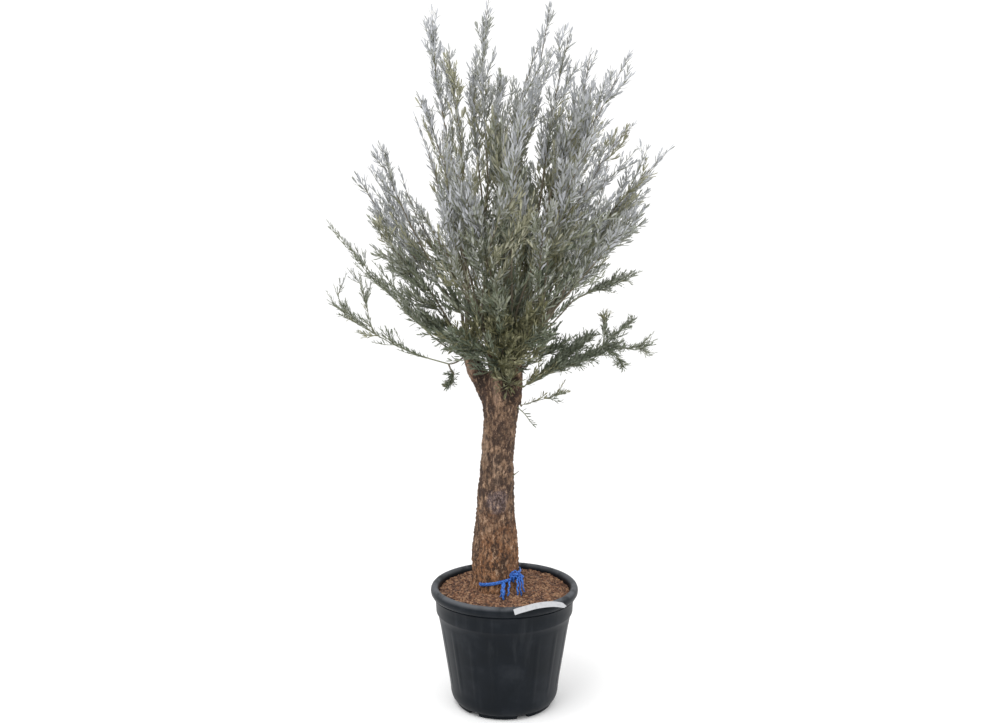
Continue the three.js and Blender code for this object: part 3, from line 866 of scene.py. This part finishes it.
# A leader to each tip of a mass's solid, sprigs along it, and shoots out to the solid's skin.
def growMass(group, name):
    mesh = merged(name, name)
    mesh.calc_loop_triangles()
    places = [v.co.copy() for v in mesh.vertices]
    hub = Vector(crown["hub"])
    root = min(places, key=lambda p: (p - hub).length)
    reach = [(p - root).length for p in places]
    most = max(reach)
    nearby = {k: [] for k in range(len(places))}
    for edge in mesh.edges:
        a, b = edge.vertices
        nearby[a].append(b)
        nearby[b].append(a)
    tips = [
        places[k] for k in nearby
        if reach[k] > crown["tipReach"] * most and all(reach[k] >= reach[n] for n in nearby[k])
    ]
    size = fine.get(name, 1.0)
    loose = name in fine
    habit = habits["spray" if loose else "crown"]
    shade = habit["shade"]
    addRun(limbTo(root), habit["limb"], habit["limb"] * limb["taper"])
    leaders = []
    for tip in tips:
        run = tip - root
        end = root + run * (1 - crown["tipInset"] / run.length)
        centre = halfway(places, root, tips, tip)
        middle = centre + (centre - root.lerp(end, 0.5)) - Vector((0, 0, droops.get(name, 0)))
        steps = max(6, int(run.length / crown["leaderStep"]))
        line = wavy(root, middle, end, steps, habit["sway"])
        leaders.append(line)
        if loose:
            sprayLines.append(line)
        elif run.length > crown["longLeader"]:
            crownLines.append((group, line))
        slim = crown["leader"] * (0.5 if most < 0.2 else min(1.0, 0.4 + run.length))
        addRun(line, slim * habit["slim"], crown["tip"])
        setLeaves(group, line, habit["leafFrom"], toneAt(line[-1], shade), size * habit["leafSize"])
        turn = dice.uniform(0, 360)
        share = crown["sprigFrom"]
        while share < crown["sprigTo"]:
            k = min(int(share * steps), steps - 1)
            long = dice.uniform(*crown["sprigLong"]) * (1.42 - share) * min(1.0, 1.6 * run.length)
            heading = leaning(line, k, dice.uniform(*crown["sprigLean"]), turn)
            if loose or keptAt(line[k] + heading * long):
                growTwig(group, line, k, heading, long, toneAt(line[k], shade), size)
            turn += crown["goldenTurn"] + dice.uniform(-20, 20)
            share += crown["sprigGap"] / run.length * dice.uniform(0.7, 1.3)
    leadersOf[name] = leaders
    if not leaders:
        return
    triangles = list(mesh.loop_triangles)
    areas = np.array([t.area for t in triangles])
    count = int(areas.sum() * crown["shootsPerSquare"] * fullness.get(name, 1.0))
    chosen = np.searchsorted(np.cumsum(areas) / areas.sum(), [dice.random() for _ in range(count)])
    for index in chosen:
        a, b, c = (places[v] for v in triangles[min(index, len(triangles) - 1)].vertices)
        u, v = dice.random(), dice.random()
        if u + v > 1:
            u, v = 1 - u, 1 - v
        skin = a + (b - a) * u + (c - a) * v
        if not loose and not keptAt(skin):
            continue
        line = min(leaders, key=lambda run: min((p - skin).length for p in run))
        spot = min(range(len(line)), key=lambda k: (line[k] - skin).length)
        away = (line[spot] - skin).length
        inset = 0.010 if loose else dice.uniform(*crown["inset"])
        skin = skin.lerp(line[spot], min(inset / max(away, 0.02), 0.5))
        back = away / math.tan(math.radians(dice.uniform(*crown["lean"])))
        k = spot
        while k > 0 and (line[spot] - line[k]).length < back:
            k -= 1
        start = line[k]
        run = skin - start
        if run.length < min(crown["shortest"], 0.3 * most):
            continue
        out = skin - line[spot]
        middle = start + run * 0.5 + out * 0.24 + Vector((0, 0, -0.03 * run.length))
        path = wavy(start, middle, skin, 4 if run.length < 0.13 else 6, 0.014)
        level = toneAt(skin, shade)
        addRun(path, crown["shoot"] * min(1.0, 0.4 + run.length * 3), crown["tip"])
        setLeaves(group, path, 0.1, level, size)
        if run.length > 0.1 and dice.random() < crown["twigChance"]:
            k = dice.randint(1, len(path) - 3)
            heading = leaning(path, k, dice.uniform(*crown["twigLean"]), dice.uniform(0, 360))
            growTwig(group, path, k, heading, run.length * dice.uniform(*crown["twigShare"]), level, size)


# Shorter shoots in the wedges between neighbouring leaders.
def growWedges():
    done = set()
    near, far = crown["wedge"]

    def along(run, share):
        place = share * (len(run) - 1)
        j = min(int(place), len(run) - 2)
        return run[j].lerp(run[j + 1], place - j)

    for n, (group, line) in enumerate(crownLines):
        others = [k for k in range(len(crownLines)) if k != n]
        others.sort(key=lambda k: (crownLines[k][1][-1] - line[-1]).length)
        for k in others[:crown["wedgePairs"]]:
            other = crownLines[k][1]
            pair = (min(n, k), max(n, k))
            if pair in done or not near < (other[-1] - line[-1]).length < far:
                continue
            done.add(pair)
            start = along(line, crown["wedgeFrom"])
            reach = crown["wedgeTo"] + dice.uniform(-0.10, 0.05)
            end = along(line, reach).lerp(along(other, reach), dice.uniform(0.4, 0.6))
            middle = along(line, 0.62).lerp(along(other, 0.62), 0.38)
            if not keptAt(end):
                continue
            long = (end - start).length
            path = wavy(start, middle, end, max(4, int(long / 0.04)), 0.014)
            level = toneAt(end)
            addRun(path, crown["shoot"] * 1.2, crown["tip"])
            setLeaves(group, path, 0.2, level)
            share, turn = 0.15, dice.uniform(0, 360)
            while share < 0.92:
                j = min(int(share * (len(path) - 1)), len(path) - 2)
                heading = leaning(path, j, dice.uniform(*crown["sprigLean"]), turn)
                sprig = dice.uniform(*crown["sprigLong"]) * (1.25 - 0.6 * share)
                if keptAt(path[j] + heading * sprig):
                    growTwig(group, path, j, heading, sprig, level, 1.0)
                turn += crown["goldenTurn"] + dice.uniform(-20, 20)
                share += crown["wedgeGap"] / long * dice.uniform(0.7, 1.3)
    print(f"{len(done)} wedges between leaders are found")


# The piece that holds the leaves at a place on the outer side of the crown.
def groupAt(place):
    if place.z > 1.75:
        return "foliageTop"
    return "foliageRight" if place.x > 0.05 else "foliageLeft" if place.x < -0.05 else "foliageFront"


# Long side shoots off the leaders, each with a few sprigs.
def growOutriders():
    for habit, lines in (("crown", [line for _, line in crownLines]), ("spray", sprayLines)):
        given = outriders[habit]
        for line in lines:
            whole = sum((b - a).length for a, b in zip(line, line[1:]))
            if whole < crown["outriderLeast"]:
                continue
            turn = dice.uniform(0, 360)
            for _ in range(given["each"]):
                share = dice.uniform(*given["from"])
                k = int(share * (len(line) - 1))
                heading = leaning(line, k, dice.uniform(*given["lean"]), turn)
                long = min(dice.uniform(*given["long"]), max((1 - share) * whole, 0.04))
                tip = line[k] + heading * long
                turn += 360 / given["each"] + dice.uniform(-30, 30)
                if not keptAt(tip):
                    continue
                path = wavy(line[k], line[k].lerp(tip, 0.5), tip, max(4, int(long / 0.03)), 0.010)
                level = toneAt(tip)
                addRun(path, crown["shoot"] * 1.2, crown["tip"])
                setLeaves(groupAt(tip), path, 0.2, level, given["size"])
                for j in range(1, len(path) - 1):
                    around = turn + crown["goldenTurn"] * j
                    side = leaning(path, j, dice.uniform(*crown["sprigLean"]), around)
                    long = dice.uniform(*crown["outriderSprig"])
                    growTwig(groupAt(tip), path, j, side, long, level, given["size"])


# Sprigs that fill a small flattened ball round points on a mass's leaders.
def growClusters():
    for name, given in clusters.items():
        reach = given["reach"]
        for line in leadersOf[name]:
            for share in given["at"]:
                centre = line[round(share * (len(line) - 1))]
                for _ in range(given["sprigs"]):
                    turn = dice.uniform(0, 2 * math.pi)
                    lift = dice.uniform(-1, 1)
                    out = dice.random() ** 0.4
                    flat = math.sqrt(1 - lift * lift)
                    heading = Vector((flat * math.cos(turn), 0.7 * flat * math.sin(turn), lift))
                    tip = centre + out * reach * heading
                    k = min(range(len(line)), key=lambda j: (line[j] - tip).length)
                    back = max(k - dice.randint(1, 2), 0)
                    path = wavy(line[back], line[k].lerp(tip, 0.4), tip, 5, 0.012)
                    addRun(path, crown["shoot"] * 0.6, crown["tip"])
                    setLeaves(groupAt(tip), path, 0.35, toneAt(tip, 0.08), given["size"])


# Twigs that leave the bark itself.
def growTwiglets():
    for height, heading, long, rise, leafy in twiglets:
        turn = math.radians(heading)
        out = Vector((math.cos(turn), math.sin(turn), 0))
        start = barkSkin.ray_cast(Vector((-0.02, 0, height)) + out * 0.3, -out)[0]
        if start is None:
            continue
        tip = start + (out + Vector((0, 0, rise))).normalized() * long
        path = wavy(start, start.lerp(tip, 0.5), tip, 6, 0.03)
        thick = crown["boughTwiglet"] if tip.z > crown["boughAbove"] else crown["shoot"] * 1.3
        addRun(path, thick, crown["tip"] * 1.5)
        if leafy:
            setLeaves("foliageRight", path, 0.25, 0, 0.75)


# Short leafy sprouts on the back of the boughs, close above the fork, in the two darkest tones as painted
# shade of the fork.
def growSprouts():
    skin = [v.co.copy() for v in barkMade.data.vertices]
    places = [p for p in skin if p.z > crown["sproutAbove"] and p.y > 0.0 and p.x > -0.09]
    for _ in range(crown["sprouts"]):
        start = dice.choice(places)
        stray = Vector([dice.uniform(-0.08, 0.08) for _ in range(3)])
        out = Vector((start.x * 1.2, start.y * 1.2, 0)) + stray
        heading = (out.normalized() + Vector((0, 0, 0.9))).normalized()
        end = start + heading * dice.uniform(*crown["sproutLong"])
        path = wavy(start, start.lerp(end, 0.5) - Vector((0, 0, 0.01)), end, 4, 0.02)
        addRun(path, crown["shoot"], crown["tip"])
        setLeaves("foliageBack" if end.y > 0 else "foliageFront", path, 0.15, dice.randint(0, 1))


for group, masses in foliage.items():
    for name in masses:
        growMass(group, name)
growWedges()
growSprouts()
growOutriders()
growClusters()
growTwiglets()
for group in foliage:
    print(f"{group}: {len(leaves[group])} leaves set out")

twigWood = plain("twigWood", linear(106, 98, 82), Roughness=0.85)
twigGreen = plain("twigGreen", linear(120, 122, 96), Roughness=0.7)


def runsObject(name, runs):
    curve = bpy.data.curves.new(name, "CURVE")
    curve.dimensions = "3D"
    for points, radii in runs:
        spline = curve.splines.new("POLY")
        spline.points.add(len(points) - 1)
        spline.points.foreach_set("co", [c for p in points for c in (*p, 1.0)])
        spline.points.foreach_set("radius", radii)
    made = bpy.data.objects.new(name, curve)
    scene.collection.objects.link(made)
    return made


def tubeTree():
    board, given = geometryTree("tubes", Sides="Int", Finish="Material")
    circle = {"Resolution": given.pick("Sides"), "Radius": 1.0}
    sizes = {
        "Curve": given.pick("Geometry"), "Scale": board.add("GeometryNodeInputRadius"), "Fill Caps": True,
        "Profile Curve": board.add("GeometryNodeCurvePrimitiveCircle", None, circle),
    }
    return closeTree(board, board.add("GeometryNodeCurveToMesh", None, sizes), given.pick("Finish"))


tubes = tubeTree()
stout = [run for run in twigRuns if run[1][0] >= crown["stout"]]
slim = [run for run in twigRuns if run[1][0] < crown["stout"]]
for name, runs, sides, paint in [("limbs", stout, 7, twigWood), ("twigs", slim, 3, twigGreen)]:
    piece = grow(runsObject(name, runs), tubes, Sides=sides, Finish=paint)
    shadeSmooth(piece)
    finishPiece(piece, "bark")

leafPaint = []
for n, (top, under) in enumerate(zip(leaf["top"], leaf["under"])):
    leafPaint.append(plain(f"leafTop{n}", linear(*top), Roughness=0.5))
    leafPaint.append(plain(f"leafUnder{n}", linear(*under), Roughness=0.75))


# A narrow blade, one long, arched over a flat underside.
def leafShape(name, droop):
    def at(along, across, lift):
        return (along, across, lift - droop * along * along)

    points = [at(0, 0, 0)]
    for along, half in leaf["half"]:
        points += [at(along, -half, 0), at(along, 0, leaf["arch"] * half), at(along, half, 0)]
    points.append(at(1, 0, 0))
    top = [(0, 1, 2), (0, 2, 3), (1, 4, 5, 2), (2, 5, 6, 3), (4, 7, 5), (5, 7, 6)]
    under = [(0, 3, 1), (1, 3, 6, 4), (4, 6, 7)]
    made = meshObject(name, points, top + under)
    side = made.data.attributes.new("under", "INT", "FACE")
    side.data.foreach_set("value", [0] * len(top) + [1] * len(under))
    return made


shelf = bpy.data.collections.new("leafShapes")
scene.collection.children.link(shelf)
for n, droop in enumerate(leaf["shapes"]):
    one = leafShape(f"leafShape{n}", droop)
    scene.collection.objects.unlink(one)
    shelf.objects.link(one)


def leafTree():
    board, given = geometryTree("leaves", Shapes="Collection", Seed="Int")

    def stored(name, kind):
        return board.add("GeometryNodeInputNamedAttribute", {"data_type": kind}, {"Name": name})

    chosen = {"Collection": given.pick("Shapes"), "Separate Children": True, "Reset Children": True}
    last = len(leaf["shapes"]) - 1
    which = {4: 0, 5: last, "Seed": given.pick("Seed")}
    placing = {
        "Points": given.pick("Geometry"), "Pick Instance": True,
        "Instance": board.add("GeometryNodeCollectionInfo", None, chosen),
        "Instance Index": board.add("FunctionNodeRandomValue", {"data_type": "INT"}, which, out=2),
        "Rotation": stored("turn", "QUATERNION"), "Scale": stored("size", "FLOAT_VECTOR"),
    }
    placed = board.add("GeometryNodeInstanceOnPoints", None, placing)
    done = board.add("GeometryNodeRealizeInstances", None, {"Geometry": placed})
    finish = stored("tone", "INT") * 2 + stored("under", "INT")
    for n, paint in enumerate(leafPaint):
        same = {"data_type": "INT", "operation": "EQUAL"}
        mine = board.add("FunctionNodeCompare", same, {2: finish, 3: n})
        painted = {"Geometry": done, "Selection": mine, "Material": paint}
        done = board.add("GeometryNodeSetMaterial", None, painted)
    board.add("NodeGroupOutput", None, {0: done})
    return board


leafing = leafTree()
leafTotal = 0
for n, (group, found) in enumerate(leaves.items()):
    cloud = meshObject(group, [entry[0] for entry in found], [])
    mesh = cloud.data
    turns, sizes, tones = [], [], []
    for at, heading, face, length, tone in found:
        across = face.cross(heading).normalized()
        face = heading.cross(across)
        turns += Matrix((heading, across, face)).transposed().to_quaternion()[:]
        wide = dice.uniform(0.85, 1.15)
        sizes += [length, length * wide, length]
        tones.append(tone)
    mesh.attributes.new("turn", "QUATERNION", "POINT").data.foreach_set("value", turns)
    mesh.attributes.new("size", "FLOAT_VECTOR", "POINT").data.foreach_set("vector", sizes)
    mesh.attributes.new("tone", "INT", "POINT").data.foreach_set("value", tones)
    leafTotal += len(found)
    piece = grow(cloud, leafing, Shapes=shelf, Seed=n)
    finishPiece(piece, "foliage", *foliage[group])
for one in list(shelf.objects):
    bpy.data.objects.remove(one)
bpy.data.collections.remove(shelf)
print(f"{leafTotal} leaves in all")

tie = {
    "centre": (-0.027, 0.0, 0.436), "tilt": 0.0144, "reach": 0.2, "steps": 150,
    "strands": 4, "strand": 0.0027, "turns": 11, "off": 0.0050, "twist": (0.0016, 0.0040), "sunk": 0.016,
    "knot": (0.071, -0.058, 0.015), "knotSpread": ((-0.018, 0.010), (-0.004, 0.006), (-0.016, 0.010)),
    "loops": 13, "loopSize": (0.008, 0.017), "loopLean": ((-1, 1), (-0.6, 0.2), (-1, 1)), "loopSteps": 16,
    "loopStrand": 0.0028, "endStrand": 0.0014, "seed": 40,
    "ends": (  # where each loose end leaves, from the centre, and how far it reaches
        ((0.076, -0.052, 0.020), (0.006, -0.034, -0.062)), ((0.082, -0.050, 0.022), (0.010, -0.030, -0.052)),
        ((0.070, -0.060, 0.012), (0.000, -0.036, -0.048)), ((0.044, -0.074, 0.004), (-0.006, -0.030, -0.044)),
        ((0.026, -0.083, 0.002), (-0.002, -0.036, -0.052)), ((0.020, -0.084, 0.000), (0.003, -0.040, -0.048)),
        ((0.022, -0.083, 0.002), (-0.008, -0.026, -0.040)),
    ),
}
twine, board, at, link = patterned("twine", linear(34, 92, 182), Roughness=0.6)
lay = board.noise(board.stretched(at, (1, 1, 2.5)), 160.0, 5, 0.6)
link(Base_Color=board.tint(board.band(lay, 0.38, 0.64), linear(18, 62, 140), linear(62, 126, 214)))
link(Normal=board.bump(0.8, 0.002, lay))


# One strand of the band: it lies on the bark and winds about the band's own middle.
def tieRing(strand):
    count = tie["steps"]
    wide, high = tie["twist"]
    points = []
    for k in range(count):
        turn = 2 * math.pi * k / count
        flat = Vector((math.cos(turn), math.sin(turn), 0))
        middle = Vector(tie["centre"]) + Vector((0, 0, flat.x * tie["tilt"]))
        hit = barkSkin.ray_cast(middle + flat * tie["reach"], -flat)[0]
        twist = tie["turns"] * turn + 2 * math.pi * strand / tie["strands"]
        off = tie["off"] - tie["sunk"] * smooth(-flat.x, 0.62, 0.86)
        points.append(hit + flat * (off + wide * math.cos(twist)) + Vector((0, 0, high * math.sin(twist))))
    soft = [sum((points[(k + d) % count] for d in range(-2, 3)), Vector()) / 5 for k in range(count)]
    return soft + [soft[0]]


# A loose end: out from the band, over the bark and down to lie on the soil.
def looseEnd(start, reach):
    end = start + Vector(reach)
    middle = start + Vector((reach[0] * 0.3, reach[1] * 1.1, reach[2] * 0.2))
    path = [bend(start, middle, end, k / 8) for k in range(9)]
    for k, p in enumerate(path):
        p.x += 0.0022 * math.sin(1.9 * k + 900 * start.x)
        p.z = max(p.z, soilHeight(p.x, p.y) + 0.004)
    return path


knotDice = random.Random(tie["seed"])


def scattered(spans):
    return Vector([knotDice.uniform(*span) for span in spans])


# One small loop of the knot, turned any way round a place close to the knot's middle.
def knotLoop():
    lean = scattered(tie["loopLean"]).normalized()
    other = lean.orthogonal().normalized()
    third = lean.cross(other)
    size = knotDice.uniform(*tie["loopSize"])
    centre = tieMiddle + Vector(tie["knot"]) + scattered(tie["knotSpread"])
    loop = []
    for k in range(tie["loopSteps"] + 1):
        turn = 2 * math.pi * k / tie["loopSteps"]
        out = (other * math.cos(turn) + third * 0.6 * math.sin(turn)) * size
        loop.append(centre + out + lean * 0.005 * math.sin(2 * turn))
    return loop


tieMiddle = Vector(tie["centre"])
tieRuns = [(tieRing(n), [tie["strand"]] * (tie["steps"] + 1)) for n in range(tie["strands"])]
for _ in range(tie["loops"]):
    tieRuns.append((knotLoop(), [tie["loopStrand"]] * (tie["loopSteps"] + 1)))
for start, reach in tie["ends"]:
    path = looseEnd(tieMiddle + Vector(start), reach)
    thick = [tie["loopStrand"] * (1.25 if k % 3 == 1 else 1.0) for k in range(len(path) - 1)]
    tieRuns.append((path, thick + [tie["endStrand"]]))
tiePiece = grow(runsObject("tieTwine", tieRuns), tubes, Sides=7, Finish=twine)
shadeSmooth(tiePiece)
finishPiece(tiePiece, "tie", "tie")

label = {
    "long": 0.190, "wide": 0.0185, "thick": 0.0008, "heading": 27, "lean": 38, "steps": 40,
    "sagLeft": 0.008, "sagRight": 0.018, "pointed": 0.18, "pointFrom": 0.86, "off": 0.0016, "above": 0.003,
    "ripple": 0.0006,
}
paper, board, at, link = patterned("labelPaper", linear(222, 222, 222), Roughness=0.6)
creases = board.noise(at, 70.0, 5)
# Painted shade in the paper's creases: darker grey where the crease noise rises.
creaseShade = board.band(creases, 0.5, 0.75) * 0.6
link(Base_Color=board.tint(creaseShade, linear(176, 177, 180), linear(140, 141, 143)))
link(Normal=board.bump(0.3, 0.001, creases))


# A strip that is straight in plan and leans on the rim, with both ends sagging off it.
def labelShape():
    points, faces = [], []
    lean = math.radians(label["lean"])
    turn = Matrix.Rotation(math.radians(label["heading"]), 3, "Z")
    for side in (0, label["thick"]):
        for k in range(label["steps"] + 1):
            share = 2 * k / label["steps"] - 1
            sag = (label["sagRight"] if share > 0 else label["sagLeft"]) * share * share
            slim = 1 - (1 - label["pointed"]) * smooth(share, label["pointFrom"], 1.0)
            off = pot["rim"] + label["off"] + side
            for edge in (-0.5, 0.5):
                up = edge * label["wide"] * slim
                out = off - up * math.sin(lean) + label["ripple"] * math.sin(share * 9)
                place = turn @ Vector((share * label["long"] / 2, -out, 0))
                points.append((place.x, place.y, pot["height"] + label["above"] + up * math.cos(lean) - sag))
    outer = len(points) // 2  # the outer side's points come after the inner side's
    for a in range(0, outer - 2, 2):
        b = a + 2
        faces += [(a, a + 1, b + 1, b), (outer + a, outer + b, outer + b + 1, outer + a + 1)]
        faces += [(a, b, outer + b, outer + a), (a + 1, outer + a + 1, outer + b + 1, b + 1)]
    end = outer - 2
    faces += [(0, outer, outer + 1, 1), (end, end + 1, outer + end + 1, outer + end)]
    return points, faces


labelPiece = meshObject("labelStrip", *labelShape(), paper)
shape = bmesh.new()
shape.from_mesh(labelPiece.data)
bmesh.ops.recalc_face_normals(shape, faces=shape.faces)
shape.to_mesh(labelPiece.data)
shape.free()
finishPiece(labelPiece, "label", "label")
